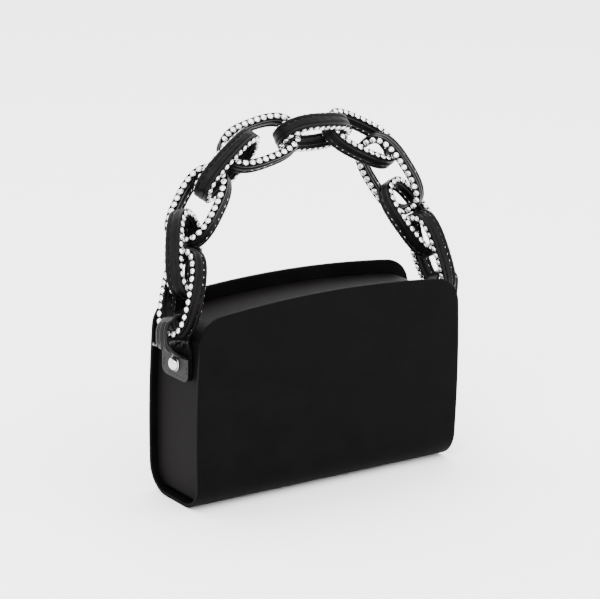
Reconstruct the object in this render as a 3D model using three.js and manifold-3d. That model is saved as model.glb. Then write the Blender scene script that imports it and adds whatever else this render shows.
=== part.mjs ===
// Structured satin evening bag with a jewelled chain handle.
// Millimetres. +Z up, X along the bag's width, the front faces -Y.
// The origin is the middle of the flat foot that the bag stands on.
import * as THREE from 'three';
import { mergeVertices } from 'three/addons/utils/BufferGeometryUtils.js';
import Module from 'manifold-3d';

const wasm = await Module();
wasm.setup();

// ---- driving dimensions ----
const HALF_WIDTH = 95; // half the width of the front and back panels at the foot
const HEIGHT = 125; // foot to the middle of the crowned top edge
const DEPTH = 55; // outside of the front panel to outside of the back panel
const BELLY = 1.6; // how far the panels' side edges bow out
const CROWN = 4.5; // how far the top edge rises in the middle
const CORNER = 18; // radius of the panels' top corners
const FOOT_RADIUS = 17; // radius of the wrap between panel and foot
const BOARD = 2.4; // covered board of the outer wrap
const GAP = 0.4; // clearance between pieces that are glued together

const END_RECESS = 4; // end gussets lie this far inside the panels' edges
const TOP_RECESS = 8.5; // the top strip lies this far below the panels' edges
const GUSSET_BOARD = 2.2;
const FLAP_BOARD = 3;
const FLAP_HALF = HALF_WIDTH - 27; // half the width of the flap and the strip in front of it
const FRONT_STRIP = 5.5; // width of the fixed strip in front of the flap
const SEAM = 0.5; // open seam round the flap

const LINING_WALL = 1.2;
const LINING_TOP = HEIGHT - 24; // rim of the lining
const BASE_BOARD = 1.6;
const BASE_PLAY = 1; // free space between the base board's ends and the lining's sides
const RAIL_DROP = 5; // thickness of the magnet rail and of the hinge rail
const MAGNET_RAIL = 9.5; // width of the rail that the flap closes on

const MAGNET_RADIUS = 3.5;
const MAGNET_THICKNESS = 1.1;
const MAGNET_POCKET = 1.6; // depth of the pocket that holds a magnet
const MAGNET_PLAY = 0.25; // free space round a magnet in its pocket
const MAGNET_SPREAD = 45; // each magnet's distance from the middle

const POCKET_HALF = 55; // slip pocket on the lining's back wall
const POCKET_FOOT = 32;
const POCKET_RIM = LINING_TOP - 13;
const POCKET_CLOTH = 0.9;
const POCKET_SPACE = 1.4;
const POCKET_SEAM = 3;

const LINK_LENGTH = 55; // outside length of one chain link
const LINK_WIDTH = 31; // outside width of one chain link
const LINK_WIRE = 5; // width of the covered core, seen on the link's face
const CORE_HEIGHT = 5.8; // thickness of the covered core, across the link's faces
const CORE_ROUNDING = 1.1;
const ROW_WIDTH = 3.6; // stone rows on both faces of a link
const ROW_HEIGHT = 2.9;
const ROW_GAP = 0.3;
const CORNER_POWER = 2.7; // 2 makes the links elliptical and larger values make them squarer

const TAB_TAIL_HALF = 14.5; // half the width of a leather tab's tail
const TAB_LOOP_HALF = 5.5; // half its width where it passes through the link
const TAB_FOOT = HEIGHT - 47; // height of the tail's lower end
const TAB_CORNER = 5;
const TAB_SHOULDER = HEIGHT - 30; // height where the tail starts to narrow
const TAB_NECK = HEIGHT - 23; // height where it has narrowed
const TAIL_Y = 0; // the tail's middle; its loop follows the link's bar instead
const TAB_THICKNESS = 3; // two plies of leather
const LOOP_RISE = 3.5; // straight part of the loop, between its two half-round ends
const LOOP_LEATHER = 1.5;
const LOOP_SLOPE = 0.3; // rise of the loop towards the front, per millimetre of its width
const LOOP_TWIST = -0.12; // lean of the loop's back edge away from the bag, per millimetre
const LOOP_PLAY = 1; // free space between the loop and the link's bar
const STUD_HEIGHT = TAB_FOOT + 9;
const STUD_RADIUS = 4.7;
const STUD_DOME = 3.4;
const POST_RADIUS = 1.5;
const POST_CLEARANCE = 0.3;
const WASHER_RADIUS = 4;
const WASHER_THICKNESS = 0.8;
const WASHER_GAP = 0.2; // between the washer and the gusset, and round the post
const WASHER_ROOM = 1; // free space round a washer in the lining's side
const STUD_SEAT = 0.3; // gap between the stud's head and the leather
const STUD_RIM = 0.6; // height of the head's rim under its dome
const POST_END = 1.2; // how far the post stands out behind its washer
const TAIL_CLEAR = 1; // the tab stays flat to this far above its stud's head
const TAB_BEND = 2; // the tab's inner side leaves the gusset this far below its neck
const CUT = 1; // cutting solids pass the faces they open by this much

// ---- the handle's chain ----
// The links lie near a plane that leans back from the line between the two end bars.
const BAR_X = HALF_WIDTH + 4; // each end bar's distance from the middle
const BAR_Y = -5;
const BAR_Z = HEIGHT - 19;
const HANDLE_LEAN = Math.atan(0.4);
// Each link's middle: across in shares of BAR_X, then rise above the end bars and distance in
// front of the handle's plane in link lengths. Each link points from the one before to the one
// after, then is turned in degrees: `turn` about its own length (0 lies flat in the handle's
// plane), `tip` out of that plane and `veer` within it.
const LINKS = [
  { across: -0.92, rise: 0.33, front: 0, turn: 100, tip: -8, veer: 0 },
  { across: -0.85, rise: 0.785, front: 0.06, turn: 32, tip: 10, veer: 5 },
  { across: -0.66, rise: 1.235, front: -0.02, turn: 128, tip: -6, veer: 2 },
  { across: -0.41, rise: 1.61, front: 0, turn: 57, tip: 2, veer: 0 },
  { across: -0.15, rise: 1.795, front: 0, turn: 158, tip: -4, veer: -1 },
  { across: 0.245, rise: 1.83, front: 0.02, turn: 69, tip: 8, veer: 2 },
  { across: 0.61, rise: 1.705, front: -0.03, turn: 153, tip: 0, veer: 3 },
  { across: 0.77, rise: 1.29, front: 0, turn: 59, tip: 0, veer: -1 },
  { across: 0.865, rise: 0.8, front: 0.02, turn: 161, tip: -6, veer: 10 },
  { across: 0.91, rise: 0.4, front: 0, turn: 96, tip: 8, veer: -1 },
];

// ---- materials ----
const satin = new THREE.MeshStandardMaterial({ color: 0x17161a, roughness: 0.55, metalness: 0 });
const gussetSatin = new THREE.MeshStandardMaterial({ color: 0x232126, roughness: 0.5, metalness: 0 });
const liningCloth = new THREE.MeshStandardMaterial({ color: 0x2a282c, roughness: 0.7, metalness: 0 });
const leather = new THREE.MeshStandardMaterial({ color: 0x1b1b1d, roughness: 0.38, metalness: 0 });
const coreSatin = new THREE.MeshStandardMaterial({ color: 0x1c191b, roughness: 0.6, metalness: 0 });
const crystal = new THREE.MeshStandardMaterial({ color: 0xe8ebef, roughness: 0.1, metalness: 0.2 });
const silver = new THREE.MeshStandardMaterial({ color: 0xc9cacd, roughness: 0.18, metalness: 1 });
const steel = new THREE.MeshStandardMaterial({ color: 0x9a9ca0, roughness: 0.3, metalness: 1 });
const board = new THREE.MeshStandardMaterial({ color: 0x3b3833, roughness: 0.85, metalness: 0 });

// ---- solids ----
function toManifold(geometry) {
  const bare = geometry.clone();
  bare.deleteAttribute('normal');
  bare.deleteAttribute('uv');
  const merged = mergeVertices(bare, 1e-4);
  return new wasm.Manifold(new wasm.Mesh({
    numProp: 3,
    vertProperties: new Float32Array(merged.attributes.position.array),
    triVerts: new Uint32Array(merged.index.array),
  }));
}

function toGeometry(solid) {
  const mesh = solid.getMesh();
  const geometry = new THREE.BufferGeometry();
  geometry.setAttribute('position', new THREE.BufferAttribute(mesh.vertProperties, 3));
  geometry.setIndex(new THREE.BufferAttribute(mesh.triVerts, 1));
  geometry.computeVertexNormals();
  return geometry;
}

// A closed outline in the X-Z plane, extruded along Y from yLow to yHigh.
function extrudeAlongY(shape, yLow, yHigh, curveSegments = 10) {
  const geometry = new THREE.ExtrudeGeometry(shape, {
    depth: yHigh - yLow, bevelEnabled: false, curveSegments,
  });
  geometry.rotateX(Math.PI / 2);
  geometry.translate(0, yHigh, 0);
  return toManifold(geometry);
}

// A closed outline in the Y-Z plane, extruded along X from xLow to xHigh.
function extrudeAlongX(shape, xLow, xHigh, curveSegments = 10) {
  const geometry = new THREE.ExtrudeGeometry(shape, {
    depth: xHigh - xLow, bevelEnabled: false, curveSegments,
  });
  geometry.rotateX(Math.PI / 2);
  geometry.rotateZ(Math.PI / 2);
  geometry.translate(xLow, 0, 0);
  return toManifold(geometry);
}

function box(xLow, xHigh, yLow, yHigh, zLow, zHigh) {
  const geometry = new THREE.BoxGeometry(xHigh - xLow, yHigh - yLow, zHigh - zLow);
  geometry.translate((xLow + xHigh) / 2, (yLow + yHigh) / 2, (zLow + zHigh) / 2);
  return toManifold(geometry);
}

function upright(radius, x, y, zLow, zHigh) {
  const geometry = new THREE.CylinderGeometry(radius, radius, zHigh - zLow, 24);
  geometry.rotateX(Math.PI / 2);
  geometry.translate(x, y, (zLow + zHigh) / 2);
  return toManifold(geometry);
}

function crosswise(radius, xLow, xHigh, y, z) {
  const geometry = new THREE.CylinderGeometry(radius, radius, xHigh - xLow, 20);
  geometry.rotateZ(Math.PI / 2);
  geometry.translate((xLow + xHigh) / 2, y, z);
  return toManifold(geometry);
}

// The panels' outline seen from the front, moved in by `side` at the ends and `top` at the top.
// Its top corners stay round, its sides bow out and its top edge is crowned.
function panelOutline(side, top) {
  const half = HALF_WIDTH - side;
  const radius = CORNER - side;
  const cornerX = HALF_WIDTH - CORNER;
  const cornerZ = HEIGHT - CROWN - top - radius;
  const bow = Math.atan(4 * BELLY / cornerZ);
  const rise = Math.atan(2 * CROWN / cornerX);
  const sideX = cornerX + radius * Math.cos(bow);
  const sideZ = cornerZ + radius * Math.sin(bow);
  const topX = cornerX + radius * Math.sin(rise);
  const topZ = cornerZ + radius * Math.cos(rise);
  const shape = new THREE.Shape();
  shape.moveTo(-half, 0);
  shape.lineTo(half, 0);
  shape.quadraticCurveTo(half + 2 * BELLY, cornerZ / 2, sideX, sideZ);
  shape.absarc(cornerX, cornerZ, radius, bow, Math.PI / 2 - rise, false);
  shape.quadraticCurveTo(0, topZ + 2 * CROWN, -topX, topZ);
  shape.absarc(-cornerX, cornerZ, radius, Math.PI / 2 + rise, Math.PI - bow, false);
  shape.quadraticCurveTo(-half - 2 * BELLY, cornerZ / 2, -half, 0);
  return shape;
}

// The bag seen from its end: straight sides down to a foot with round corners.
function endProfile(inset) {
  const half = DEPTH / 2 - inset;
  const radius = FOOT_RADIUS - inset;
  const shape = new THREE.Shape();
  shape.moveTo(-half, HEIGHT * 1.2);
  shape.lineTo(-half, FOOT_RADIUS);
  shape.absarc(-half + radius, FOOT_RADIUS, radius, Math.PI, 1.5 * Math.PI, false);
  shape.absarc(half - radius, FOOT_RADIUS, radius, 1.5 * Math.PI, 2 * Math.PI, false);
  shape.lineTo(half, HEIGHT * 1.2);
  return shape;
}

const reach = HALF_WIDTH * 1.2;
const panelBlock = (side, top) => extrudeAlongY(panelOutline(side, top), -DEPTH, DEPTH);
const profileBlock = (inset) => extrudeAlongX(endProfile(inset), -reach, reach);

const insideWrap = BOARD + GAP;
const insideHalf = DEPTH / 2 - insideWrap;
const gussetInner = END_RECESS + GUSSET_BOARD;
const flapBottom = TOP_RECESS + FLAP_BOARD;

function outerWrap() {
  const whole = panelBlock(0, 0).intersect(profileBlock(0));
  return whole.subtract(profileBlock(BOARD));
}

// End gusset: up the end, round the top corner, as far as the flap.
function endGusset(sign) {
  const skin = panelBlock(END_RECESS, TOP_RECESS).subtract(panelBlock(gussetInner, flapBottom));
  const inside = skin.intersect(profileBlock(insideWrap));
  const near = FLAP_HALF + SEAM;
  const end = sign > 0
    ? box(near, reach, -DEPTH, DEPTH, BOARD, HEIGHT)
    : box(-reach, -near, -DEPTH, DEPTH, BOARD, HEIGHT);
  const hole = crosswise(POST_RADIUS + POST_CLEARANCE, -reach, reach, TAIL_Y, STUD_HEIGHT);
  return inside.intersect(end).subtract(hole);
}

// A strip of the crowned top between two depths, across part of the bag's depth.
function topStrip(upper, lower, half, yLow, yHigh) {
  const skin = panelBlock(END_RECESS, upper).subtract(panelBlock(END_RECESS, lower));
  return skin.intersect(box(-half, half, yLow, yHigh, HEIGHT / 2, HEIGHT));
}

// The flap's hinge line lies on top of the crown, in the open seam behind the front strip.
const hingeY = -insideHalf + FRONT_STRIP + SEAM / 2;
const stripTop = (x) => HEIGHT - TOP_RECESS - CROWN * (x / (HALF_WIDTH - CORNER)) ** 2;
const railTop = flapBottom + GAP;
const magnetY = insideHalf - MAGNET_RAIL / 2;
const magnetPlaces = [-MAGNET_SPREAD, MAGNET_SPREAD];
const flapUnderside = stripTop(MAGNET_SPREAD) - FLAP_BOARD;
const railUpperside = flapUnderside - GAP;
const pocketRadius = MAGNET_RADIUS + MAGNET_PLAY;

function frontStrip() {
  return topStrip(TOP_RECESS, flapBottom, FLAP_HALF, -insideHalf, hingeY - SEAM / 2);
}

function hingeRail() {
  return topStrip(railTop, railTop + RAIL_DROP, FLAP_HALF, -insideHalf, hingeY - SEAM / 2);
}

function topFlap() {
  let flap = topStrip(TOP_RECESS, flapBottom, FLAP_HALF, hingeY + SEAM / 2, insideHalf - SEAM);
  for (const x of magnetPlaces) {
    const roof = flapUnderside + MAGNET_POCKET;
    flap = flap.subtract(upright(pocketRadius, x, magnetY, flapUnderside - RAIL_DROP, roof));
  }
  return flap;
}

function magnetRail() {
  const front = insideHalf - MAGNET_RAIL;
  let rail = topStrip(railTop, railTop + RAIL_DROP, FLAP_HALF, front, insideHalf);
  for (const x of magnetPlaces) {
    const floor = railUpperside - MAGNET_POCKET;
    rail = rail.subtract(upright(pocketRadius, x, magnetY, floor, railUpperside + RAIL_DROP));
  }
  return rail;
}

const flapMagnetZ = flapUnderside + MAGNET_POCKET - MAGNET_PLAY - MAGNET_THICKNESS;
const railMagnetZ = railUpperside - MAGNET_POCKET + MAGNET_PLAY;
const magnet = (x, z) => upright(MAGNET_RADIUS, x, magnetY, z, z + MAGNET_THICKNESS);

// The lining is an open tub; its outside follows the gussets and the wrap.
const liningSide = gussetInner + GAP;
const liningFloor = insideWrap + BASE_BOARD + GAP;

function liningTub() {
  const wall = LINING_WALL;
  const outside = panelBlock(liningSide, flapBottom + GAP).intersect(profileBlock(insideWrap));
  const hollow = panelBlock(liningSide + wall, flapBottom + GAP + wall)
    .intersect(profileBlock(insideWrap + wall));
  const slab = (zLow) => box(-reach, reach, -DEPTH, DEPTH, zLow, LINING_TOP);
  const tub = outside.intersect(slab(liningFloor));
  const clear = WASHER_RADIUS + WASHER_ROOM;
  const inner = hollow.intersect(box(-reach, reach, -DEPTH, DEPTH, liningFloor + wall, HEIGHT * 2));
  const boss = crosswise(clear, -reach, reach, TAIL_Y, STUD_HEIGHT);
  return tub.subtract(inner).subtract(boss);
}

function baseBoard() {
  const flat = DEPTH / 2 - FOOT_RADIUS;
  const half = HALF_WIDTH - liningSide - BASE_PLAY;
  return box(-half, half, -flat, flat, insideWrap, insideWrap + BASE_BOARD);
}

// A flat cloth panel whose bottom and side hems turn back towards the wall behind it.
function slipPocket() {
  const wallY = insideHalf - LINING_WALL - GAP;
  const faceY = wallY - POCKET_SPACE - POCKET_CLOTH;
  const whole = box(-POCKET_HALF, POCKET_HALF, faceY, wallY, POCKET_FOOT, POCKET_RIM);
  const inner = POCKET_HALF - POCKET_SEAM;
  const insideY = faceY + POCKET_CLOTH;
  const seamTop = POCKET_FOOT + POCKET_SEAM;
  return whole.subtract(box(-inner, inner, insideY, wallY + CUT, seamTop, POCKET_RIM + CUT));
}

// ---- leather tabs and their studs, made at the -X end and mirrored for the other ----
const gussetBulge = 0.7 * BELLY; // how far the end gusset bows out behind the tab
const TAB_GAP = 0.3; // between the tab and the gusset behind it
const tabInner = -(HALF_WIDTH - END_RECESS + gussetBulge + TAB_GAP);
const tabOuter = tabInner - TAB_THICKNESS;
const barHeight = CORE_HEIGHT + 2 * (ROW_GAP + ROW_HEIGHT);
const loopBore = Math.hypot(barHeight, LINK_WIRE) / 2 + LOOP_PLAY;
const loopRadius = loopBore + LOOP_LEATHER;

// The tail runs up beside the gusset, as far as the middle of the ring round the end bar.
function tailSide() {
  const flatTop = STUD_HEIGHT + STUD_RADIUS + TAIL_CLEAR;
  const shape = new THREE.Shape();
  shape.moveTo(tabOuter, TAB_FOOT);
  shape.lineTo(tabInner, TAB_FOOT);
  shape.lineTo(tabInner, TAB_NECK - TAB_BEND);
  shape.lineTo(loopRadius - BAR_X, BAR_Z);
  shape.lineTo(-loopRadius - BAR_X, BAR_Z);
  shape.quadraticCurveTo(-loopRadius - BAR_X, BAR_Z - loopRadius, tabOuter, flatTop);
  return shape;
}

// A tall ring whose front edge stands higher than its back edge, as the link's bar does.
function loopPrism(radius, half) {
  const shape = new THREE.Shape();
  shape.absarc(0, 0, radius, Math.PI, 2 * Math.PI, false);
  shape.absarc(0, LOOP_RISE, radius, 0, Math.PI, false);
  const geometry = new THREE.ExtrudeGeometry(shape, {
    depth: 2 * half, bevelEnabled: false, curveSegments: 12,
  });
  geometry.rotateX(Math.PI / 2);
  geometry.translate(0, half, 0);
  geometry.applyMatrix4(new THREE.Matrix4().makeShear(0, 0, LOOP_TWIST, -LOOP_SLOPE, 0, 0));
  geometry.translate(-BAR_X, 0, BAR_Z);
  return toManifold(geometry);
}

function tabFront() {
  const shape = new THREE.Shape();
  const tail = TAB_TAIL_HALF;
  const loop = TAB_LOOP_HALF;
  const loopY = BAR_Y - TAIL_Y;
  const mid = (TAB_SHOULDER + TAB_NECK) / 2;
  shape.moveTo(-tail + TAB_CORNER, TAB_FOOT);
  shape.lineTo(tail - TAB_CORNER, TAB_FOOT);
  shape.absarc(tail - TAB_CORNER, TAB_FOOT + TAB_CORNER, TAB_CORNER, -Math.PI / 2, 0, false);
  shape.lineTo(tail, TAB_SHOULDER);
  shape.bezierCurveTo(tail, mid, loopY + loop, mid, loopY + loop, TAB_NECK);
  shape.lineTo(loopY + loop, HEIGHT);
  shape.lineTo(loopY - loop, HEIGHT);
  shape.lineTo(loopY - loop, TAB_NECK);
  shape.bezierCurveTo(loopY - loop, mid, -tail, mid, -tail, TAB_SHOULDER);
  shape.lineTo(-tail, TAB_FOOT + TAB_CORNER);
  shape.absarc(-tail + TAB_CORNER, TAB_FOOT + TAB_CORNER, TAB_CORNER, Math.PI, 1.5 * Math.PI, false);
  return shape;
}

function leatherTab() {
  const side = extrudeAlongY(tailSide(), -TAB_TAIL_HALF - CUT, TAB_TAIL_HALF + CUT, 12);
  const front = extrudeAlongX(tabFront(), -reach * 1.2, 0, 6);
  const loopY = BAR_Y - TAIL_Y;
  const ring = loopPrism(loopRadius, TAB_LOOP_HALF).translate([0, loopY, 0]);
  const bore = loopPrism(loopBore, 2 * TAB_TAIL_HALF).translate([0, loopY, 0]);
  const hole = crosswise(POST_RADIUS + POST_CLEARANCE, -reach * 1.2, 0, 0, STUD_HEIGHT);
  return side.intersect(front).add(ring).subtract(bore).subtract(hole).translate([0, TAIL_Y, 0]);
}

// Domed head and post in one turned piece; the washer closes it inside the bag.
const washerFace = -(HALF_WIDTH - gussetInner - GAP);

function stud() {
  const postEnd = washerFace - WASHER_THICKNESS - tabOuter;
  const rimTop = STUD_SEAT + STUD_RIM;
  const points = [
    [0, -postEnd - POST_END],
    [POST_RADIUS, -postEnd - POST_END],
    [POST_RADIUS, STUD_SEAT],
    [STUD_RADIUS, STUD_SEAT],
  ];
  for (let step = 1; step <= 5; step += 1) {
    const angle = step * Math.PI / 10;
    const dome = (STUD_DOME - STUD_RIM) * Math.sin(angle);
    points.push([STUD_RADIUS * Math.cos(angle), rimTop + dome]);
  }
  points[points.length - 1][0] = 0;
  const profile = points.map(([r, y]) => new THREE.Vector2(r, y));
  const geometry = new THREE.LatheGeometry(profile, 20);
  geometry.rotateZ(Math.PI / 2);
  geometry.translate(tabOuter, TAIL_Y, STUD_HEIGHT);
  return toManifold(geometry);
}

function studWasher() {
  const inner = washerFace + WASHER_GAP;
  const outer = inner + WASHER_THICKNESS;
  const disc = crosswise(WASHER_RADIUS, inner, outer, TAIL_Y, STUD_HEIGHT);
  return disc.subtract(crosswise(POST_RADIUS + WASHER_GAP, inner - CUT, outer + CUT, TAIL_Y, STUD_HEIGHT));
}

// ---- chain links ----
// A rounded oval between a stadium and an ellipse, with `turns` evenly spaced points.
function oval(halfLength, halfWidth, turns = 28) {
  const power = 2 / CORNER_POWER;
  const ring = (t) => {
    const c = Math.cos(t);
    const s = Math.sin(t);
    return new THREE.Vector2(
      halfLength * Math.sign(c) * Math.abs(c) ** power,
      halfWidth * Math.sign(s) * Math.abs(s) ** power,
    );
  };
  const fine = 720;
  const lengths = [0];
  for (let i = 1; i <= fine; i += 1) {
    const a = ring(2 * Math.PI * (i - 1) / fine);
    const b = ring(2 * Math.PI * i / fine);
    lengths.push(lengths[i - 1] + a.distanceTo(b));
  }
  const points = [];
  let at = 0;
  for (let k = 0; k < turns; k += 1) {
    const wanted = lengths[fine] * (k + 0.5) / turns;
    while (lengths[at + 1] < wanted) at += 1;
    const share = (wanted - lengths[at]) / (lengths[at + 1] - lengths[at]);
    points.push(ring(2 * Math.PI * (at + share) / fine));
  }
  return points;
}

// The points of the oval down the middle of the wire, moved in or out along their normals.
function offsetRing(points, distance) {
  return points.map((point, i) => {
    const before = points[(i + points.length - 1) % points.length];
    const after = points[(i + 1) % points.length];
    const normal = new THREE.Vector2(after.y - before.y, before.x - after.x).normalize();
    return point.clone().addScaledVector(normal, distance);
  });
}

const wireMiddle = oval((LINK_LENGTH - LINK_WIRE) / 2, (LINK_WIDTH - LINK_WIRE) / 2);

function ringShape(width) {
  const shape = new THREE.Shape(offsetRing(wireMiddle, width / 2));
  shape.holes.push(new THREE.Path(offsetRing(wireMiddle, -width / 2).reverse()));
  return shape;
}

function coreGeometry() {
  const geometry = new THREE.ExtrudeGeometry(ringShape(LINK_WIRE - 2 * CORE_ROUNDING), {
    depth: CORE_HEIGHT - 2 * CORE_ROUNDING,
    bevelEnabled: true,
    bevelThickness: CORE_ROUNDING,
    bevelSize: CORE_ROUNDING,
    bevelSegments: 1,
  });
  geometry.translate(0, 0, -CORE_HEIGHT / 2 + CORE_ROUNDING);
  return toGeometry(toManifold(geometry));
}

function rowGeometry(side) {
  const geometry = new THREE.ExtrudeGeometry(ringShape(ROW_WIDTH), {
    depth: ROW_HEIGHT, bevelEnabled: false,
  });
  const low = CORE_HEIGHT / 2 + ROW_GAP;
  geometry.translate(0, 0, side > 0 ? low : -low - ROW_HEIGHT);
  return toGeometry(toManifold(geometry));
}

const handleNormal = new THREE.Vector3(0, -Math.cos(HANDLE_LEAN), Math.sin(HANDLE_LEAN));
const endBars = [-BAR_X, BAR_X].map((x) => new THREE.Vector3(x, BAR_Y, BAR_Z));

function linkMiddle({ across, rise, front }) {
  const up = rise * LINK_LENGTH;
  const middle = new THREE.Vector3(across * BAR_X, BAR_Y + up * Math.tan(HANDLE_LEAN), BAR_Z + up);
  return middle.addScaledVector(handleNormal, front * LINK_LENGTH);
}

// A link's own X is its length, Y its width and Z the way one of its faces looks.
function linkGroup(index) {
  const link = LINKS[index];
  const last = LINKS.length - 1;
  const before = index > 0 ? linkMiddle(LINKS[index - 1]) : endBars[0];
  const after = index < last ? linkMiddle(LINKS[index + 1]) : endBars[1];
  const along = after.clone().sub(before).normalize();
  const face = handleNormal.clone().addScaledVector(along, -handleNormal.dot(along)).normalize();
  const width = new THREE.Vector3().crossVectors(face, along);
  const group = new THREE.Group();
  group.quaternion.setFromRotationMatrix(new THREE.Matrix4().makeBasis(along, width, face));
  group.rotateY(THREE.MathUtils.degToRad(link.tip));
  group.rotateZ(THREE.MathUtils.degToRad(link.veer));
  group.rotateX(THREE.MathUtils.degToRad(link.turn));
  group.position.copy(linkMiddle(link));
  const toBar = new THREE.Vector3((LINK_LENGTH - LINK_WIRE) / 2, 0, 0).applyQuaternion(group.quaternion);
  if (index === 0) group.position.copy(endBars[0]).add(toBar);
  if (index === last) group.position.copy(endBars[1]).sub(toBar);
  return group;
}

// ---- the assembly ----
const bag = new THREE.Group();

function add(name, geometry, material, parent = bag) {
  const mesh = new THREE.Mesh(geometry, material);
  mesh.name = name;
  parent.add(mesh);
  return mesh;
}

const addSolid = (name, solid, material, parent) => add(name, toGeometry(solid), material, parent);

addSolid('outer_wrap', outerWrap(), satin);
addSolid('end_gusset_left', endGusset(-1), gussetSatin);
addSolid('end_gusset_right', endGusset(1), gussetSatin);
addSolid('front_strip', frontStrip(), gussetSatin);
addSolid('hinge_rail', hingeRail(), board);
addSolid('magnet_rail', magnetRail(), liningCloth);
addSolid('base_board', baseBoard(), board);
addSolid('lining', liningTub(), liningCloth);
addSolid('slip_pocket', slipPocket(), liningCloth);
addSolid('top_flap', topFlap(), gussetSatin);
magnetPlaces.forEach((x) => {
  const side = x < 0 ? 'left' : 'right';
  addSolid(`flap_magnet_${side}`, magnet(x, flapMagnetZ), steel);
  addSolid(`rail_magnet_${side}`, magnet(x, railMagnetZ), steel);
});

for (const side of ['left', 'right']) {
  const place = (solid) => (side === 'left' ? solid : solid.mirror([1, 0, 0]));
  addSolid(`leather_tab_${side}`, place(leatherTab()), leather);
  addSolid(`stud_${side}`, place(stud()), silver);
  addSolid(`stud_washer_${side}`, place(studWasher()), steel);
}

const core = coreGeometry();
const rowFront = rowGeometry(1);
const rowBack = rowGeometry(-1);
LINKS.forEach((_, index) => {
  const group = linkGroup(index);
  const name = `link_${String(index + 1).padStart(2, '0')}`;
  add(`${name}_core`, core, coreSatin, group);
  add(`${name}_stones_front`, rowFront, crystal, group);
  add(`${name}_stones_back`, rowBack, crystal, group);
  bag.add(group);
});

export default bag;
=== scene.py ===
"""Looks of the evening bag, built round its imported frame. Lengths are metres, and MM is one millimetre."""
import math
import random

import bmesh
import bpy
import numpy as np
from mathutils import Matrix, Vector


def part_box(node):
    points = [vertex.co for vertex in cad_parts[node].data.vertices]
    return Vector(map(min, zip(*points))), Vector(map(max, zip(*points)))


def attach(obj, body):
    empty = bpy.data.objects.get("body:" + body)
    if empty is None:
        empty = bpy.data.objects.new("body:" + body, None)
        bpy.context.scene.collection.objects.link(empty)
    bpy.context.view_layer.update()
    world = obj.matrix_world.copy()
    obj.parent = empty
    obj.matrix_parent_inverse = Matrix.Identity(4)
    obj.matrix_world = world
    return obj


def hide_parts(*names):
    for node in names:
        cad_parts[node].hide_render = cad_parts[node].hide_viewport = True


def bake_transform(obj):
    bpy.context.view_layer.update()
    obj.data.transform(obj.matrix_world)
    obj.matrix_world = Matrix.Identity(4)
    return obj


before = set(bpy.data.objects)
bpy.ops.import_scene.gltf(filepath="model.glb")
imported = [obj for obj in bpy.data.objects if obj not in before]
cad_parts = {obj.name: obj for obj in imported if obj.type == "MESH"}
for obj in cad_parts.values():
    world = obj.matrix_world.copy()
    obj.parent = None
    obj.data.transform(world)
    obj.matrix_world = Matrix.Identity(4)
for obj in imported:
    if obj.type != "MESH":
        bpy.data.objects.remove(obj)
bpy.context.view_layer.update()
MM = 0.001
random.seed(7)

# ---- sizes of the body ----
# The depth is read from the frame and the rest repeats the part's own values, except that the
# gusset's board, the flap's board and the lining's cloth are each 0.2 mm thinner here.
HALF_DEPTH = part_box("outer_wrap")[1][1]
HALF_WIDTH = 0.095
HEIGHT = 0.125
BELLY = 1.6 * MM
CROWN = 4.5 * MM
CORNER = 18 * MM
FOOT_RADIUS = 17 * MM
BOARD = 2.4 * MM
END_RECESS = 4 * MM
TOP_RECESS = 8.5 * MM
GUSSET_BOARD = 2 * MM
FLAP_BOARD = 2.8 * MM
LINING_CLOTH = 1 * MM

# ---- materials ----


def new_material(name, color, roughness, **sockets):
    """A Principled material. Extra keywords set the sockets of the same name, with _ for a space."""
    material = bpy.data.materials.new(name)
    material.use_nodes = True
    shader = material.node_tree.nodes["Principled BSDF"]
    shader.inputs["Base Color"].default_value = (*color, 1)
    shader.inputs["Roughness"].default_value = roughness
    for key, value in sockets.items():
        shader.inputs[key.replace("_", " ")].default_value = value
    return material, shader


def texture_coordinates(material, scale=(1, 1, 1)):
    nodes, links = material.node_tree.nodes, material.node_tree.links
    coordinates = nodes.new("ShaderNodeTexCoord")
    mapping = nodes.new("ShaderNodeMapping")
    mapping.inputs["Scale"].default_value = scale
    links.new(coordinates.outputs["Object"], mapping.inputs["Vector"])
    return mapping.outputs["Vector"]


def noise(material, vector, scale, detail=3.0, roughness=0.5):
    node = material.node_tree.nodes.new("ShaderNodeTexNoise")
    node.inputs["Scale"].default_value = scale
    node.inputs["Detail"].default_value = detail
    node.inputs["Roughness"].default_value = roughness
    material.node_tree.links.new(vector, node.inputs["Vector"])
    return node.outputs["Fac"]


def spread(material, value, low, high):
    """Maps the middle part of a 0 to 1 value, 0.3 to 0.7, to the range low to high."""
    node = material.node_tree.nodes.new("ShaderNodeMapRange")
    node.inputs["From Min"].default_value = 0.3
    node.inputs["From Max"].default_value = 0.7
    node.inputs["To Min"].default_value = low
    node.inputs["To Max"].default_value = high
    material.node_tree.links.new(value, node.inputs["Value"])
    return node.outputs["Result"]


def mix_colors(material, value, first, second):
    node = material.node_tree.nodes.new("ShaderNodeValToRGB")
    node.color_ramp.elements[0].position = 0.3
    node.color_ramp.elements[1].position = 0.7
    node.color_ramp.elements[0].color = (*first, 1)
    node.color_ramp.elements[1].color = (*second, 1)
    material.node_tree.links.new(value, node.inputs["Fac"])
    return node.outputs["Color"]


def bump(material, shader, heights):
    """Chains bumps: heights is a list of (output, strength, distance)."""
    nodes, links = material.node_tree.nodes, material.node_tree.links
    last = None
    for output, strength, distance in heights:
        node = nodes.new("ShaderNodeBump")
        node.inputs["Strength"].default_value = strength
        node.inputs["Distance"].default_value = distance
        links.new(output, node.inputs["Height"])
        if last:
            links.new(last, node.inputs["Normal"])
        last = node.outputs["Normal"]
    links.new(last, shader.inputs["Normal"])


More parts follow.
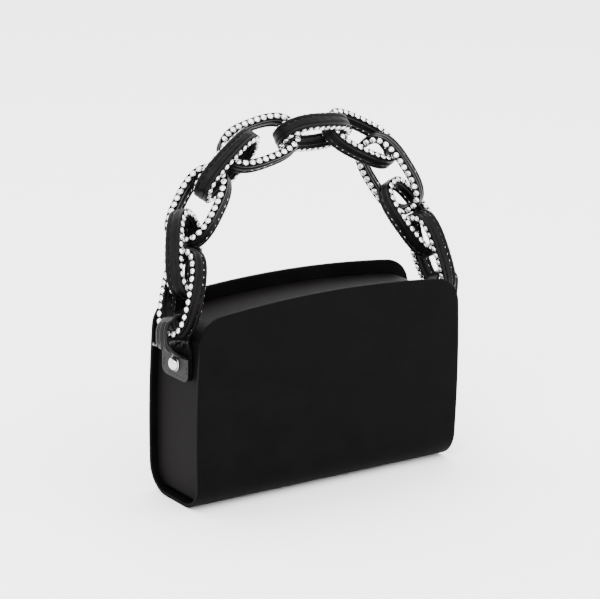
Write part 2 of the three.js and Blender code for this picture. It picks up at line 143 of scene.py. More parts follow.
def satin(name, dark, light, roughness, sheen, index, thread=0.22 * MM):
    """Closely woven cloth: fine threads both ways, soft undulation and slightly uneven colour."""
    material, shader = new_material(
        name, dark, roughness, Sheen_Weight=sheen, Sheen_Roughness=0.35, IOR=index
    )
    shader.inputs["Sheen Tint"].default_value = (1.0, 0.93, 0.95, 1)
    links = material.node_tree.links
    plain = texture_coordinates(material)
    uneven = noise(material, plain, 60)
    links.new(mix_colors(material, uneven, dark, light), shader.inputs["Base Color"])
    links.new(spread(material, uneven, roughness - 0.015, roughness + 0.015), shader.inputs["Roughness"])
    per_metre = 1 / thread
    warp = noise(material, texture_coordinates(material, (1, 1, 0.06)), per_metre, 1)
    weft = noise(material, texture_coordinates(material, (0.06, 0.06, 1)), per_metre, 1)
    waves = noise(material, plain, 35, 1)
    bump(material, shader, [(waves, 0.06, 0.4 * MM), (warp, 0.35, 0.05 * MM), (weft, 0.25, 0.04 * MM)])
    return material


def leather_material():
    material, shader = new_material(
        "black_leather", (0.0015, 0.0015, 0.0015), 0.36, IOR=1.17
    )
    links = material.node_tree.links
    plain = texture_coordinates(material)
    cells = material.node_tree.nodes.new("ShaderNodeTexVoronoi")
    cells.inputs["Scale"].default_value = 1 / (0.9 * MM)
    links.new(plain, cells.inputs["Vector"])
    wear = noise(material, plain, 140, 4)
    creases = noise(material, texture_coordinates(material, (1, 1, 0.35)), 420, 4, 0.6)
    color = mix_colors(material, wear, (0.0015, 0.0015, 0.0016), (0.004, 0.004, 0.0041))
    links.new(color, shader.inputs["Base Color"])
    links.new(spread(material, wear, 0.3, 0.43), shader.inputs["Roughness"])
    bump(material, shader, [(cells.outputs["Distance"], 0.22, 0.08 * MM), (creases, 0.3, 0.15 * MM)])
    return material


def metal(name, color, roughness, scratch=0.03):
    material, shader = new_material(name, color, roughness, Metallic=1.0)
    links = material.node_tree.links
    plain = texture_coordinates(material)
    smears = noise(material, plain, 300, 4)
    links.new(spread(material, smears, roughness, roughness + 0.1), shader.inputs["Roughness"])
    bump(material, shader, [(noise(material, plain, 2500, 2), scratch, 0.02 * MM)])
    return material


def crystal_material():
    """Clear foil-backed stones: mirror-bright facets under a hard glass surface."""
    material, shader = new_material(
        "clear_stone", (0.86, 0.88, 0.92), 0.06,
        Metallic=0.75, Coat_Weight=1.0, Coat_Roughness=0.02, Coat_IOR=1.6,
    )
    links = material.node_tree.links
    tint = noise(material, texture_coordinates(material), 260, 1)
    links.new(mix_colors(material, tint, (0.55, 0.57, 0.6), (0.98, 0.98, 1.0)), shader.inputs["Base Color"])
    return material


def board_material():
    material, shader = new_material("black_board", (0.02, 0.019, 0.018), 0.85)
    links = material.node_tree.links
    fibres = noise(material, texture_coordinates(material, (1, 1, 0.2)), 900, 5, 0.7)
    color = mix_colors(material, fibres, (0.012, 0.011, 0.01), (0.028, 0.026, 0.024))
    links.new(color, shader.inputs["Base Color"])
    bump(material, shader, [(fibres, 0.3, 0.08 * MM)])
    return material


# name, dark and light colour, then roughness, sheen, index of refraction and thread pitch
PANEL_SATIN = satin(
    "panel_satin", (0.0010, 0.0009, 0.001), (0.0016, 0.0015, 0.0017),
    0.6, 0.002, 1.09
)
END_SATIN = satin(
    "end_satin", (0.0017, 0.0013, 0.0015), (0.0026, 0.0021, 0.0023),
    0.52, 0.003, 1.09
)
CORD_SATIN = satin(
    "cord_satin", (0.0008, 0.0006, 0.0007), (0.003, 0.0025, 0.0026),
    0.42, 0.005, 1.14, 0.3 * MM
)
LINING = satin(
    "lining_cloth", (0.003, 0.0028, 0.0031), (0.0055, 0.005, 0.0055),
    0.6, 0.02, 1.15, 0.35 * MM
)
THREAD = satin(
    "thread", (0.003, 0.003, 0.003), (0.007, 0.007, 0.007),
    0.5, 0.03, 1.25, 0.12 * MM
)
LEATHER = leather_material()
SILVER = metal("polished_silver", (0.5, 0.5, 0.51), 0.08)
CUP_METAL = metal("cup_metal", (0.3, 0.3, 0.31), 0.16)
STEEL = metal("plain_steel", (0.5, 0.51, 0.53), 0.3, 0.1)
CRYSTAL = crystal_material()
BLACK_BOARD = board_material()

# ---- mesh helpers ----


def piece(name, mesh, materials, body, slot, *replaced, smooth=True):
    """Adds a piece to the scene. A piece that rides two bodies has body None and is left without a parent.
    """
    obj = bpy.data.objects.new(name, mesh)
    bpy.context.scene.collection.objects.link(obj)
    for material in materials:
        mesh.materials.append(material)
    if smooth:
        mesh.polygons.foreach_set("use_smooth", [True] * len(mesh.polygons))
    if body:
        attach(obj, body)
    if replaced:
        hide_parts(*replaced)
    return obj


def grid_mesh(name, points, close_rows=False, close_columns=False):
    """A quad mesh through an array of points with shape (rows, columns, 3)."""
    rows, columns = points.shape[:2]
    faces = []
    for i in range(rows if close_rows else rows - 1):
        for j in range(columns if close_columns else columns - 1):
            a, b = i * columns, (i + 1) % rows * columns
            k = (j + 1) % columns
            faces.append((a + j, b + j, b + k, a + k))
    mesh = bpy.data.meshes.new(name)
    mesh.from_pydata([tuple(p) for p in points.reshape(-1, 3)], [], faces)
    mesh.update()
    return mesh


def face_outwards(mesh, centre):
    """Turns an open sheet's faces so that most of them look away from centre."""
    away = sum((f.center - Vector(centre)).dot(f.normal) * f.area for f in mesh.polygons)
    if away < 0:
        mesh.flip_normals()


def thicken(obj, thickness, edge=0.0, offset=-1):
    solid = obj.modifiers.new("thickness", "SOLIDIFY")
    solid.thickness = thickness
    solid.offset = offset
    if edge:
        bevel = obj.modifiers.new("edge", "BEVEL")
        bevel.width = edge
        bevel.segments = 3
        bevel.limit_method = "ANGLE"
        bevel.angle_limit = math.radians(50)
        bevel.harden_normals = False


# ---- the panels' outline ----


def quadratic(a, b, c, count):
    t = np.linspace(0, 1, count)[:, None]
    a, b, c = (np.array(p, float) for p in (a, b, c))
    return (1 - t) ** 2 * a + 2 * t * (1 - t) * b + t**2 * c


def half_outline(side, top):
    """(x, z) points up the +X side and over the top to the middle, moved in by side and top."""
    radius = CORNER - side
    corner_x = HALF_WIDTH - CORNER
    corner_z = HEIGHT - CROWN - top - radius
    bow = math.atan(4 * BELLY / corner_z)
    rise = math.atan(2 * CROWN / corner_x)
    angles = np.linspace(bow, math.pi / 2 - rise, 25)
    arc = np.stack([corner_x + radius * np.cos(angles), corner_z + radius * np.sin(angles)], 1)
    half = HALF_WIDTH - side
    flank = quadratic((half, 0), (half + 2 * BELLY, corner_z / 2), arc[0], 40)
    # The crown's control point lies on the middle line, so half of it is a quadratic of its own.
    end = arc[-1]
    peak = end[1] + CROWN
    crown = quadratic(end, (end[0] / 2, peak), (0, peak), 40)
    return np.concatenate([flank, arc[1:], crown[1:]])


def resample(points, count, start=0.0, end=1.0):
    """Evenly spaced points along a polyline, between two shares of its length."""
    steps = np.linalg.norm(np.diff(points, axis=0), axis=1)
    length = np.concatenate([[0], np.cumsum(steps)])
    wanted = np.linspace(start, end, count) * length[-1]
    return np.stack([np.interp(wanted, length, points[:, k]) for k in range(points.shape[1])], 1)


def share_where(points, test):
    """Share of a polyline's length at the first point that passes the test."""
    steps = np.linalg.norm(np.diff(points, axis=0), axis=1)
    length = np.concatenate([[0], np.cumsum(steps)])
    index = next(i for i, p in enumerate(points) if test(p))
    return length[index] / length[-1]


def half_width_at(outline, z):
    rising = outline[: len(outline) // 2]
    return np.interp(z, rising[:, 1], rising[:, 0])


def half_depth_at(z, inset):
    """Half of the bag's depth at height z, inside the rounded foot."""
    radius = FOOT_RADIUS - inset
    below = np.clip(FOOT_RADIUS - z, 0, radius)
    return HALF_DEPTH - FOOT_RADIUS + np.sqrt(radius**2 - below**2)


def panel_patch(columns, rows):
    """The flat part of a panel as (rows, columns + 1, 2) points: its sides and top lie on the outline."""
    outline = half_outline(0, 0)
    foot = share_where(outline, lambda p: p[1] >= FOOT_RADIUS)
    corner_z = HEIGHT - CROWN - CORNER
    middle = share_where(outline, lambda p: p[1] >= corner_z + CORNER * math.sin(math.pi / 4))
    right = resample(outline, rows, foot, middle)
    right[0, 1] = FOOT_RADIUS
    left = right * (-1, 1)
    top_half = resample(outline, columns // 2 + 1, middle, 1)
    top = np.concatenate([top_half * (-1, 1), top_half[-2::-1]])
    bottom = np.linspace(left[0], right[0], len(top))
    s = np.linspace(0, 1, len(top))[None, :, None]
    t = np.linspace(0, 1, rows)[:, None, None]
    ruled = (1 - s) * left[:, None] + s * right[:, None]
    lofted = (1 - t) * bottom[None] + t * top[None]
    flat = (1 - t) * ((1 - s) * left[0] + s * right[0]) + t * ((1 - s) * left[-1] + s * right[-1])
    return ruled + lofted - flat


def make_outer_wrap():
    patch = panel_patch(72, 44)
    columns = patch.shape[1]
    outline = half_outline(0, 0)
    front = np.stack([patch[..., 0], np.full(patch.shape[:2], -HALF_DEPTH), patch[..., 1]], 2)[::-1]
    turn = np.linspace(0, math.pi / 2, 14)[1:]
    rows = []
    for angle in turn:
        z = FOOT_RADIUS * (1 - math.sin(angle))
        y = -HALF_DEPTH + FOOT_RADIUS * (1 - math.cos(angle))
        rows.append((y, z))
    flat = HALF_DEPTH - FOOT_RADIUS
    foot = rows + [(y, 0.0) for y in np.linspace(-flat, flat, 8)[1:-1]] + [(-y, z) for y, z in rows[::-1]]
    share = np.linspace(-1, 1, columns)
    under = [[(s * half_width_at(outline, z), y, z) for s in share] for y, z in foot]
    back = front[::-1] * (1, -1, 1)
    points = np.concatenate([front, np.array(under), back])
    mesh = grid_mesh("outer_wrap_satin", points)
    face_outwards(mesh, (0, 0, HEIGHT / 2))
    obj = piece("outer_wrap_satin", mesh, [PANEL_SATIN], "bag", "satin", "outer_wrap")
    thicken(obj, BOARD, 0.9 * MM)


def make_end_gusset(side, sign):
    outline = half_outline(END_RECESS, TOP_RECESS)
    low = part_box(f"end_gusset_{side}")[0][2]
    inner_x = min(abs(c[0]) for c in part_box(f"end_gusset_{side}"))
    start = share_where(outline, lambda p: p[1] >= low)
    end = share_where(outline, lambda p: p[0] <= inner_x)
    path = resample(outline, 90, start, end)
    across = np.linspace(-1, 1, 25)
    depth = half_depth_at(path[:, 1], BOARD + 0.4 * MM)
    points = np.array([[(sign * x, a * d, z) for a in across] for (x, z), d in zip(path, depth)])
    mesh = grid_mesh(f"end_gusset_{side}_satin", points)
    face_outwards(mesh, (0, 0, HEIGHT / 2))
    obj = piece(mesh.name, mesh, [END_SATIN], "bag", "gusset_satin", f"end_gusset_{side}")
    thicken(obj, GUSSET_BOARD, 0.4 * MM)


def make_top_sheet(name, node, body):
    """A satin-covered board that follows the crowned top, in the place of a frame node."""
    low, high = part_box(node)
    outline = half_outline(END_RECESS, TOP_RECESS)[::-1]
    xs = np.linspace(low[0], high[0], 61)
    top = np.interp(np.abs(xs), outline[:, 0], outline[:, 1])
    ys = np.linspace(low[1], high[1], 21)
    points = np.array([[(x, y, z) for y in ys] for x, z in zip(xs, top)])
    mesh = grid_mesh(name, points)
    face_outwards(mesh, (0, 0, 0))
    obj = piece(name, mesh, [END_SATIN], body, "gusset_satin", node)
    thicken(obj, FLAP_BOARD, 0.5 * MM)


def make_hinge_cloth():
    """A strip of satin over the flap's seam, glued to the front strip and to the flap."""
    low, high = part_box("top_flap")
    seam = (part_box("front_strip")[1][1] + low[1]) / 2
    half_cloth = 5 * MM
    outline = half_outline(END_RECESS, TOP_RECESS)[::-1]
    xs = np.linspace(low[0] + MM, high[0] - MM, 41)
    top = np.interp(np.abs(xs), outline[:, 0], outline[:, 1]) + 0.15 * MM
    ys = np.linspace(seam - half_cloth, seam + half_cloth, 25)
    points = np.array([[(x, y, z) for y in ys] for x, z in zip(xs, top)])
    mesh = grid_mesh("flap_hinge_cloth", points)
    face_outwards(mesh, (0, 0, 0))
    obj = piece(mesh.name, mesh, [END_SATIN], None, "gusset_satin")
    thicken(obj, 0.25 * MM, 0, 1)
    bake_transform(obj)


def make_lining():
    """The lining as a tub of loops: round in plan at its corners and drawn in over the foot."""
    low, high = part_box("lining")
    inset = BOARD + 0.4 * MM
    outline = half_outline(END_RECESS + GUSSET_BOARD + 0.6 * MM, TOP_RECESS + FLAP_BOARD + 0.6 * MM)
    heights = np.linspace(high[2], low[2] + 0.2 * MM, 40)
    loops = []
    for z in heights:
        half_x = half_width_at(outline, z) - 0.1 * MM
        half_y = half_depth_at(z, inset) - 0.1 * MM
        corner = min(4 * MM, half_y)
        loops.append(rounded_loop(half_x, half_y, corner, z))
    for share in (0.75, 0.5, 0.25, 0.02):
        loops.append(loops[len(heights) - 1] * (share, share, 1))
    points = np.array(loops)
    rng = np.random.default_rng(3)
    waves = rng.normal(size=4)
    angle = np.linspace(0, 2 * math.pi, points.shape[1], endpoint=False)
    ripple = sum(w * np.sin((5 + 4 * k) * angle + k) for k, w in enumerate(waves))
    drop = np.linspace(0, 1, len(heights))[:, None]
    sag = 0.22 * MM * ripple[None] * np.sin(math.pi * drop) ** 0.5
    inward = points[: len(heights), :, :2]
    inward -= inward / np.linalg.norm(inward, axis=2, keepdims=True) * np.abs(sag)[..., None]
    mesh = grid_mesh("lining_cloth_tub", points, close_columns=True)
    face_outwards(mesh, (0, 0, HEIGHT / 2))
    obj = piece(mesh.name, mesh, [LINING], "bag", "lining_cloth", "lining")
    thicken(obj, LINING_CLOTH)


def rounded_loop(half_x, half_y, corner, z, per_side=14, per_corner=6):
    points = []
    corners = ((1, 1, 0), (-1, 1, 1), (-1, -1, 2), (1, -1, 3))
    for sx, sy, quarter in corners:
        cx, cy = sx * (half_x - corner), sy * (half_y - corner)
        for k in range(per_corner + 1):
            angle = math.pi / 2 * (quarter + k / per_corner)
            points.append((cx + corner * math.cos(angle), cy + corner * math.sin(angle), z))
    whole = np.array(points + [points[0]])
    return resample(whole, 4 * (per_side + per_corner) + 1)[:-1]


def make_slip_pocket():
    """A cloth panel just off the lining's back wall, fullest at its mouth, with a rim that stands proud."""
    low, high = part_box("slip_pocket")
    xs = np.linspace(low[0], high[0], 41)
    zs = np.linspace(low[2], high[2], 25)
    rows = []
    for z in zs:
        rise = (z - low[2]) / (high[2] - low[2])
        row = []
        for x in xs:
            share = 1 - (x / high[0]) ** 2
            hem = 1 if rise < 0.94 else 0
            y = high[1] - 0.9 * MM - 1.0 * MM * share**0.5 * rise**0.5 + 0.25 * MM * hem
            row.append((x, y, z))
        rows.append(row)
    mesh = grid_mesh("slip_pocket_cloth", np.array(rows))
    face_outwards(mesh, (0, 1, HEIGHT / 2))
    obj = piece(mesh.name, mesh, [LINING], "bag", "lining_cloth", "slip_pocket")
    thicken(obj, 0.6 * MM, 0.1 * MM)


# ---- leather tabs ----

BAR_X, BAR_Y, BAR_Z = HALF_WIDTH + 4 * MM, -5 * MM, HEIGHT - 19 * MM
TAIL_Y, TAIL_HALF, TAIL_FOOT, TAIL_CORNER = 0.0, 14.5 * MM, HEIGHT - 47 * MM, 5 * MM
TAIL_INNER = HALF_WIDTH - END_RECESS + 0.7 * BELLY + 0.3 * MM
TAIL_OUTER = TAIL_INNER + 3 * MM
FLAT_TOP = TAIL_FOOT + 14.7 * MM
SHOULDER, NECK = HEIGHT - 30 * MM, HEIGHT - 22 * MM
LOOP_HALF, LOOP_RISE, LOOP_SLOPE, LOOP_TWIST = 5.4 * MM, 3.5 * MM, 0.3, 0.12
PLY = 1.35 * MM


def smooth_step(value, low, high):
    share = np.clip((value - low) / (high - low), 0, 1)
    return share * share * (3 - 2 * share)


def tab_path(loop_radius):
    """(x, z) up the tab's outer side, over the link's bar and down its inner side."""
    far, near = BAR_X + loop_radius, BAR_X - loop_radius
    path = [(TAIL_OUTER, TAIL_FOOT), (TAIL_OUTER, FLAT_TOP)]
    path += [tuple(p) for p in quadratic(path[-1], (far, BAR_Z - loop_radius), (far, BAR_Z), 16)[1:]]
    for angle in np.linspace(0, math.pi, 26):
        x = BAR_X + loop_radius * math.cos(angle)
        path.append((x, BAR_Z + LOOP_RISE + loop_radius * math.sin(angle)))
    path += [(near, BAR_Z), (TAIL_INNER, NECK - 2 * MM), (TAIL_INNER, TAIL_FOOT)]
    return resample(np.array(path), 190)


def make_tab(side, sign):
    """One strap of leather: two plies on the gusset, gathered where it narrows and rolls over the bar."""
    loop_radius = max(abs(c[0]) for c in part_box(f"leather_tab_{side}")) - BAR_X - LOOP_TWIST * LOOP_HALF
    path = tab_path(loop_radius)
    step = np.gradient(path, axis=0)
    outward = np.stack([step[:, 1], -step[:, 0]], 1) / np.linalg.norm(step, axis=1, keepdims=True)
    rows = []
    for index, ((x, z), (nx, nz)) in enumerate(zip(path, outward)):
        narrow = smooth_step(z, SHOULDER, NECK)
        shear = smooth_step(z, SHOULDER + 3 * MM, NECK + MM)
        half = TAIL_HALF + (LOOP_HALF - TAIL_HALF) * narrow
        middle = TAIL_Y + (BAR_Y - TAIL_Y) * narrow
        from_foot = z - TAIL_FOOT
        if from_foot < TAIL_CORNER:
            half -= TAIL_CORNER - math.sqrt(TAIL_CORNER**2 - (TAIL_CORNER - from_foot) ** 2)
        outer_side = 1 if index < len(path) * 0.45 else 0.25
        pinch = 4 * narrow * (1 - narrow) + 0.35 * narrow
        row = []
        for c in np.linspace(-1, 1, 41):
            y = middle + c * half
            fold = 0.5 + 0.5 * math.sin(9 * c + 2.2 * narrow)
            fold += 0.35 * math.sin(19 * c - 5 * narrow)
            lift = outer_side * (0.75 * MM * pinch * max(fold, 0) + 0.5 * MM * narrow * (1 - c * c))
            across = (y - BAR_Y) * shear
            out = x + nx * lift + LOOP_TWIST * across
            row.append((sign * out, y, z + nz * lift - LOOP_SLOPE * across))
        rows.append(row)
    mesh = grid_mesh(f"leather_tab_{side}_strap", np.array(rows))
    face_outwards(mesh, (sign * BAR_X, BAR_Y, BAR_Z))
    obj = piece(mesh.name, mesh, [LEATHER], "bag", "leather", f"leather_tab_{side}")
    thicken(obj, PLY, 0.35 * MM)
    make_tab_stitches(side, sign, TAIL_OUTER, TAIL_Y, TAIL_FOOT, TAIL_HALF)


def make_tab_stitches(side, sign, x, middle_y, foot, half):
    """Two lines of stitches up the tail and one across its foot."""
    inset, pitch, length, thick = 2 * MM, 2.8 * MM, 2 * MM, 0.28 * MM
    places = []
    top = SHOULDER - 3 * MM
    count = int((top - foot - 6 * MM) / pitch)
    for k in range(count):
        z = foot + 6 * MM + k * pitch
        places += [((half - inset), z, 0), (-(half - inset), z, 0)]
    across = half - 7 * MM
    count = int(2 * across / pitch)
    for k in range(count + 1):
        places.append((-across + k * 2 * across / count, foot + inset, 1))
    build = bmesh.new()
    for y, z, level in places:
        made = bmesh.ops.create_uvsphere(build, u_segments=8, v_segments=6, radius=1)
        size = (thick, length / 2, thick) if level else (thick, thick, length / 2)
        matrix = Matrix.Translation((sign * (x + 0.02 * MM), middle_y + y, z)) @ Matrix.Diagonal((*size, 1))
        bmesh.ops.transform(build, matrix=matrix, verts=made["verts"])
    mesh = bpy.data.meshes.new(f"leather_tab_{side}_stitches")
    build.to_mesh(mesh)
    build.free()
    piece(mesh.name, mesh, [THREAD], "bag", "leather")


STUD_POST = 1.5 * MM
STUD_SEAT = 0.3 * MM


def make_stud(side, sign):
    """A turned post and domed head, following the frame's stud."""
    low, high = (Vector(c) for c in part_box(f"stud_{side}"))
    centre_y, centre_z = (low.y + high.y) / 2, (low.z + high.z) / 2
    radius = (high.z - low.z) / 2
    outer = max(abs(low.x), abs(high.x))
    inner = min(abs(low.x), abs(high.x))
    face = TAIL_OUTER + 0.15 * MM
    rim = face + STUD_SEAT
    profile = [(0.0, inner), (STUD_POST, inner), (STUD_POST, face), (radius * 0.97, face), (radius, rim)]
    for angle in np.linspace(0, math.pi / 2, 16):
        profile.append((radius * 0.93 * math.cos(angle), rim + (outer - rim) * math.sin(angle)))
    profile[-1] = (0.0, outer)
    turns = np.linspace(0, 2 * math.pi, 48, endpoint=False)
    rows = []
    for r, x in profile:
        rows.append([(sign * x, centre_y + r * math.cos(a), centre_z + r * math.sin(a)) for a in turns])
    mesh = grid_mesh(f"stud_{side}_dome", np.array(rows), close_columns=True)
    weld(mesh)
    piece(mesh.name, mesh, [SILVER], "bag", "silver", f"stud_{side}")


def weld(mesh, distance=1e-6):
    build = bmesh.new()
    build.from_mesh(mesh)
    bmesh.ops.remove_doubles(build, verts=build.verts, dist=distance)
    bmesh.ops.recalc_face_normals(build, faces=build.faces)
    build.to_mesh(mesh)
    build.free()


# ---- chain links ----
LINK_COUNT = 10
STONES = 28
CUP_RADIUS = 1.9 * MM
HALF_WIRE = 2.5 * MM  # half the core's width, seen on the link's face
HALF_CORE = 2.95 * MM  # half the core's thickness
CORNER_POWER = 2.7


def link_axes(name):
    """A link's centre, its length, width and normal directions, then half its length and half its width.

    All are measured on the link's frame solids."""
    core = np.array([v.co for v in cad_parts[f"{name}_core"].data.vertices])
    faces = []
    for face in ("front", "back"):
        low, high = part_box(f"{name}_stones_{face}")
        faces.append((Vector(low) + Vector(high)) / 2)
    normal = np.array((faces[0] - faces[1]).normalized())
    centre = (core.max(0) + core.min(0)) / 2
    flat = core - centre
    flat -= np.outer(flat @ normal, normal)
    spread_axes = np.linalg.svd(flat, full_matrices=False)[2]
    along = spread_axes[0] / np.linalg.norm(spread_axes[0])
    width = np.cross(normal, along)
    return centre, along, width, normal, np.abs(flat @ along).max(), np.abs(flat @ width).max()


def oval(half_length, half_width, count):
    """Evenly spaced points on a rounded oval, with the outward direction at each."""
    angle = np.linspace(0, 2 * math.pi, 1441)
    power = 2 / CORNER_POWER
    c, s = np.cos(angle), np.sin(angle)
    ring = np.stack([
        half_length * np.sign(c) * np.abs(c) ** power,
        half_width * np.sign(s) * np.abs(s) ** power,
    ], 1)
    points = resample(ring, count + 1)[:-1]
    step = np.roll(points, -1, 0) - np.roll(points, 1, 0)
    outward = np.stack([step[:, 1], -step[:, 0]], 1)
    return points, outward / np.linalg.norm(outward, axis=1, keepdims=True)


def make_wrapped_core(name, body, axes):
    """A satin tube gathered lengthwise: its section's ridges run along it and drift a little."""
    centre, along, width, normal, half_length, half_width = axes
    wire, high = HALF_WIRE, HALF_CORE
    points, outward = oval(half_length - wire, half_width - wire, 168)
    section = np.linspace(0, 2 * math.pi, 40, endpoint=False)
    phase = random.uniform(0, 6)
    rows = []
    for index, (p, out) in enumerate(zip(points, outward)):
        turn = 2 * math.pi * index / len(points)
        drift = 0.5 * math.sin(2 * turn + phase) + 0.25 * math.sin(5 * turn + 2 * phase)
        row = []
        for angle in section:
            c, s = math.cos(angle), math.sin(angle)
            fold = 0.10 * math.sin(7 * (angle + 0.2 * drift) + phase)
            fold += 0.06 * math.sin(11 * angle - 3 * turn)
            fold += 0.05 * math.sin(19 * turn + 3 * angle + phase)
            squeeze = 1 + 0.5 * fold * abs(c) ** 0.5
            r = wire * np.sign(c) * abs(c) ** 0.75 * min(squeeze, 1.05)
            h = high * np.sign(s) * abs(s) ** 0.75
            flat = p + out * r
            row.append(centre + along * flat[0] + width * flat[1] + normal * h)
        rows.append(row)
    mesh = grid_mesh(f"{name}_wrapped_core", np.array(rows), close_rows=True, close_columns=True)
    weld(mesh)
    piece(mesh.name, mesh, [CORD_SATIN], body, "core_satin", f"{name}_core")


def make_stone_channel(name, body, axes):
    """The two satin edges on each face of a link, between which its stones sit."""
    centre, along, width, normal, half_length, half_width = axes
    wire, low, high, thick = HALF_WIRE, 2.4 * MM, 4.6 * MM, 0.32 * MM
    points, outward = oval(half_length - wire, half_width - wire, 140)
    build = bmesh.new()
    section = ((-0.5, low), (-0.5, high - 0.12 * MM), (0, high), (0.5, high - 0.12 * MM), (0.5, low))
    for edge in (-1, 1):
        for side in (-1, 1):
            rows = []
            for index, (p, out) in enumerate(zip(points, outward)):
                wave = 0.06 * MM * math.sin(index * 2 * math.pi / 5)
                middle = edge * (CUP_RADIUS + 0.12 * MM + thick / 2)
                row = []
                for across, height in section:
                    flat = p + out * (middle + across * thick)
                    level = height + (wave if height > low else 0)
                    spot = centre + along * flat[0] + width * flat[1] + normal * side * level
                    row.append(build.verts.new(spot))
                rows.append(row)
            for k, row in enumerate(rows):
                after = rows[(k + 1) % len(rows)]
                for j in range(len(section)):
                    n = (j + 1) % len(section)
                    build.faces.new((row[j], row[n], after[n], after[j]))
    bmesh.ops.recalc_face_normals(build, faces=build.faces)
    mesh = bpy.data.meshes.new(f"{name}_stone_edges")
    build.to_mesh(mesh)
    build.free()
    piece(mesh.name, mesh, [CORD_SATIN], body, "core_satin")


def stone_template():
    """(vertices, faces, material indices) of one cut stone in its cup.

    The cup's radius is 1 and the stone looks along +Z."""
    vertices, faces, kinds = [], [], []

    def ring(radius, z, count, shift=0.0):
        start = len(vertices)
        for k in range(count):
            angle = 2 * math.pi * (k + shift) / count
            vertices.append((radius * math.cos(angle), radius * math.sin(angle), z))
        return list(range(start, start + count))

    def band(a, b, kind):
        for k in range(len(a)):
            n = (k + 1) % len(a)
            faces.append((a[k], a[n], b[n], b[k]))
            kinds.append(kind)

    sides = 16
    foot = ring(0.72, -1.0, sides)
    wall = ring(1.0, -0.35, sides)
    rim = ring(1.0, 0.02, sides)
    lip = ring(0.9, 0.06, sides)
    faces.append(tuple(foot[::-1]))
    kinds.append(0)
    band(foot, wall, 0)
    band(wall, rim, 0)
    band(rim, lip, 0)
    girdle = ring(0.9, 0.06, sides)
    star = ring(0.7, 0.33, sides // 2, 0.5)
    table = ring(0.46, 0.47, sides // 2)
    for k in range(sides // 2):
        a, b, c = girdle[2 * k], girdle[2 * k + 1], girdle[(2 * k + 2) % sides]
        upper, last = star[k], star[k - 1]
        faces.extend([(a, b, upper), (b, c, upper), (last, a, upper)])
        faces.extend([(last, upper, table[k])])
        faces.extend([(table[k], upper, table[(k + 1) % (sides // 2)])])
        kinds.extend([1] * 5)
    faces.append(tuple(table))
    kinds.append(1)
    for k in range(4):
        angle = math.pi / 4 + k * math.pi / 2
        add_prong(vertices, faces, kinds, angle)
    return np.array(vertices), faces, kinds


def add_prong(vertices, faces, kinds, angle):
    """A claw that rises from the cup's side and bends in over the stone's edge."""
    out = np.array((math.cos(angle), math.sin(angle), 0))
    side = np.array((-math.sin(angle), math.cos(angle), 0)) * 0.13
    base = len(vertices)
    for radius, z, breadth in ((1.03, -0.25, 1.0), (1.02, 0.18, 0.9), (0.78, 0.34, 0.45)):
        for edge in (-1, 1):
            vertices.append(tuple(out * radius + side * edge * breadth + (0, 0, z)))
    for radius, z, breadth in ((0.9, -0.25, 1.0), (0.88, 0.08, 0.9)):
        for edge in (-1, 1):
            vertices.append(tuple(out * radius + side * edge * breadth + (0, 0, z)))
    a, b, c, d, e, f, g, h, i, j = range(base, base + 10)
    faces.extend([(a, b, d, c), (c, d, f, e), (e, f, j, i), (i, j, h, g), (g, h, b, a)])
    faces.extend([(a, c, i, g), (c, e, i), (b, h, j, d), (d, j, f)])
    kinds.extend([0] * 9)


STONE_VERTICES, STONE_FACES, STONE_KINDS = stone_template()


def make_stone_row(name, body, axes, face, sign):
    centre, along, width, normal, half_length, half_width = axes
    wire = HALF_WIRE
    points, outward = oval(half_length - wire, half_width - wire, STONES)
    cup = CUP_RADIUS
    base = HALF_CORE
    vertices, faces, kinds = [], [], []
    for p, out in zip(points, outward):
        u = (along * out[0] + width * out[1])
        w = normal * sign
        v = np.cross(w, u)
        middle = centre + along * p[0] + width * p[1] + w * (base + cup)
        tilt = random.uniform(-0.06, 0.06)
        w_tilted = w + u * tilt + v * random.uniform(-0.06, 0.06)
        w_tilted /= np.linalg.norm(w_tilted)
        spin = random.uniform(0, 0.4)
        u2 = u * math.cos(spin) + v * math.sin(spin)
        u2 -= w_tilted * (u2 @ w_tilted)
        u2 /= np.linalg.norm(u2)
        v2 = np.cross(w_tilted, u2)
        start = len(vertices)
        size = STONE_VERTICES * cup
        placed = middle + size[:, :1] * u2 + size[:, 1:2] * v2 + size[:, 2:] * w_tilted
        vertices.extend(map(tuple, placed))
        faces.extend(tuple(start + k for k in f) for f in STONE_FACES)
        kinds.extend(STONE_KINDS)
    mesh = bpy.data.meshes.new(f"{name}_{face}_stones")
    mesh.from_pydata(vertices, [], faces)
    looks = [CUP_METAL, CRYSTAL]
    obj = piece(mesh.name, mesh, looks, body, "stones", f"{name}_stones_{face}", smooth=False)
    for polygon, kind in zip(obj.data.polygons, kinds):
        polygon.material_index = kind
    mesh.update()


def make_links():
    for k in range(1, LINK_COUNT + 1):
        name = f"link_{k:02d}"
        axes = link_axes(name)
        make_wrapped_core(name, name, axes)
        make_stone_channel(name, name, axes)
        make_stone_row(name, name, axes, "front", 1)
        make_stone_row(name, name, axes, "back", -1)


# ---- frame nodes that keep their shape ----


def dress_frame_nodes():
    looks = {
        "hinge_rail": BLACK_BOARD, "base_board": BLACK_BOARD, "magnet_rail": LINING,
        "stud_washer_left": STEEL, "stud_washer_right": STEEL,
        "flap_magnet_left": STEEL, "flap_magnet_right": STEEL,
        "rail_magnet_left": STEEL, "rail_magnet_right": STEEL,
    }
    for name, material in looks.items():
        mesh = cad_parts[name].data
        mesh.materials.clear()
        mesh.materials.append(material)


# ---- studio ----
VIEW_AZIMUTH, VIEW_ELEVATION, VIEW_ROLL = 34.9, 16.18, 1.24
VIEW_DISTANCE = 1.588
VIEW_TARGET = Vector((0, 0, 0.0686))
VIEW_SHIFT_RIGHT, VIEW_SHIFT_UP = -0.0042, 0.0419


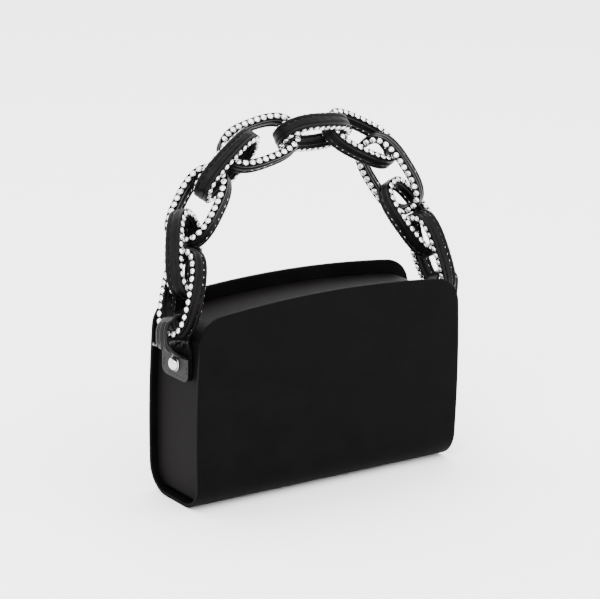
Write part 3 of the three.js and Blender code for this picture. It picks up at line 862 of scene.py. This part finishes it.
def make_camera():
    azimuth, elevation = math.radians(VIEW_AZIMUTH), math.radians(VIEW_ELEVATION)
    forward = Vector((
        math.sin(azimuth) * math.cos(elevation),
        math.cos(azimuth) * math.cos(elevation),
        -math.sin(elevation),
    ))
    level = Vector((math.cos(azimuth), -math.sin(azimuth), 0))
    right = Matrix.Rotation(math.radians(-VIEW_ROLL), 3, forward) @ level
    up = right.cross(forward)
    data = bpy.data.cameras.new("camera")
    data.lens = 155.2
    data.sensor_width = 36
    data.clip_end = 20
    camera = bpy.data.objects.new("camera", data)
    bpy.context.scene.collection.objects.link(camera)
    place = VIEW_TARGET - forward * VIEW_DISTANCE + right * VIEW_SHIFT_RIGHT + up * VIEW_SHIFT_UP
    turn = Matrix((right, up, -forward)).transposed().to_4x4()
    camera.matrix_world = Matrix.Translation(place) @ turn
    bpy.context.scene.camera = camera


def area_light(name, place, size, watts, target=(0, 0, 0.09)):
    data = bpy.data.lights.new(name, "AREA")
    data.shape = "RECTANGLE"
    data.size, data.size_y = size
    data.energy = watts
    light = bpy.data.objects.new(name, data)
    bpy.context.scene.collection.objects.link(light)
    light.location = place
    light.rotation_euler = (Vector(target) - Vector(place)).to_track_quat("-Z", "Y").to_euler()


def make_studio():
    data = bpy.data.meshes.new("floor")
    size = 6
    corners = [(-size, -size, 0), (size, -size, 0), (size, size, 0), (-size, size, 0)]
    data.from_pydata(corners, [], [(0, 1, 2, 3)])
    floor = bpy.data.objects.new("floor", data)
    bpy.context.scene.collection.objects.link(floor)
    floor.location.z = -0.0002
    material = new_material("pale_floor", (0.93, 0.93, 0.93), 0.7, Specular_IOR_Level=0.2)[0]
    data.materials.append(material)
    world = bpy.data.worlds.new("studio")
    world.use_nodes = True
    world.node_tree.nodes["Background"].inputs["Color"].default_value = (1, 1, 1, 1)
    world.node_tree.nodes["Background"].inputs["Strength"].default_value = 4.0
    bpy.context.scene.world = world
    area_light("key", (-1.1, -0.9, 1.3), (0.9, 0.9), 24)
    area_light("fill", (1.4, -1.2, 0.8), (0.8, 1.2), 8)
    area_light("top", (0.1, 0.5, 1.6), (1.2, 0.8), 20)


make_camera()
make_studio()
make_outer_wrap()
for end, direction in (("left", -1), ("right", 1)):
    make_end_gusset(end, direction)
    make_tab(end, direction)
    make_stud(end, direction)
make_top_sheet("front_strip_satin", "front_strip", "bag")
make_top_sheet("top_flap_satin", "top_flap", "flap")
make_hinge_cloth()
make_lining()
make_slip_pocket()
make_links()
dress_frame_nodes()
